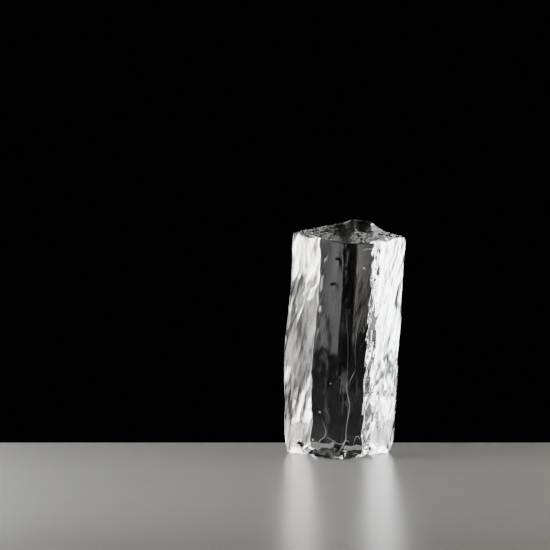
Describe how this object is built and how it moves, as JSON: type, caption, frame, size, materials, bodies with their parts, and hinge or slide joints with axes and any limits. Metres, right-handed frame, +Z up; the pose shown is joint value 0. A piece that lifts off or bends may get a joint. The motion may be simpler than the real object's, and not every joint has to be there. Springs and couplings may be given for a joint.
{
  "type": "clear ice block",
  "caption": "Tall square spear of clear ice with melt-rippled faces, a crumbly sawn top, two broken long edges and a level base, for standing in a long drink.",
  "frame": {"origin": "middle of the level base, on the surface that the block stands on", "axes": "+Z up from the base; the long faces are square to X and Y, and the block leans a few degrees towards +X"},
  "size_m": [0.041, 0.0386, 0.1041],
  "materials": {
    "clear_ice": "clear ice, wet and smooth, rippled by melting"
  },
  "bodies": {
    "root": {"ice_block": "clear_ice"}
  },
  "joints": []
}
